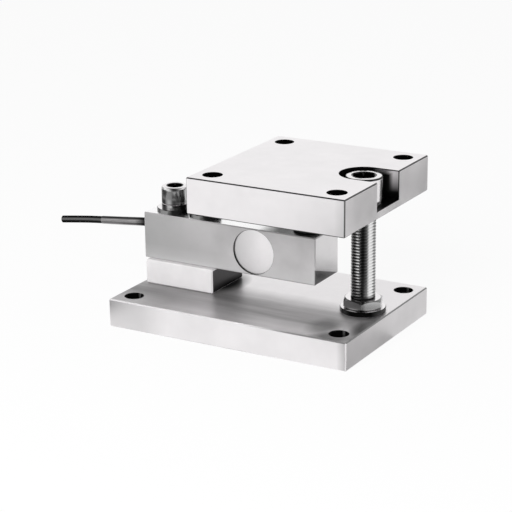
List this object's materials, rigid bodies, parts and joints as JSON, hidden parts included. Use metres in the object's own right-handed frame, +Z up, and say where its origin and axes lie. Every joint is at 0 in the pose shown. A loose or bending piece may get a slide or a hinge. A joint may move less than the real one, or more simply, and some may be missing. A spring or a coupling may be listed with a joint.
{
  "type": "weighing module",
  "caption": "Weighing module: a shear beam load cell on a base plate carries a slotted top plate on a load pin, with a hold-down bolt against lift-off and a short cable.",
  "frame": {"origin": "middle of the base plate's underside", "axes": "+X along the shear beam from its fixed end to its loaded end, +Z up through the top plate"},
  "size_m": [0.2608, 0.12, 0.11],
  "materials": {
    "plate_steel": "ground and polished",
    "beam_steel": "satin",
    "cover_steel": "satin",
    "fastener_steel": "polished",
    "washer_steel": "bright",
    "hardened_steel": "ground and hardened",
    "seal_rubber": "matte",
    "gland_nickel": "nickel plated",
    "cable_jacket": "glossy black jacket",
    "sleeve_steel": "polished tube",
    "gauge_foil": "amber film",
    "board_green": "solder mask",
    "core_sheath": "wire sheath"
  },
  "bodies": {
    "root": {"base_plate": "plate_steel", "spacer_block": "plate_steel", "load_cell_beam": "beam_steel", "gauge_cover_front": "cover_steel", "gauge_cover_rear": "cover_steel", "shear_gauge_front": "gauge_foil", "shear_gauge_rear": "gauge_foil", "terminal_board": "board_green", "lead_wires": "core_sheath", "gland_body": "gland_nickel", "gland_seal": "seal_rubber", "gland_nut": "gland_nickel", "strain_relief_sleeve": "sleeve_steel", "signal_cable": "cable_jacket", "mounting_flat_washers": "washer_steel", "mounting_spring_washers": "washer_steel", "mounting_screws": "fastener_steel", "bearing_cup": "hardened_steel", "load_pin": "hardened_steel", "pin_seal_ring": "seal_rubber", "bearing_plate": "hardened_steel", "top_plate": "plate_steel", "hold_down_bolt": "fastener_steel", "hold_down_nut": "fastener_steel", "hold_down_washer": "washer_steel"}
  },
  "joints": []
}
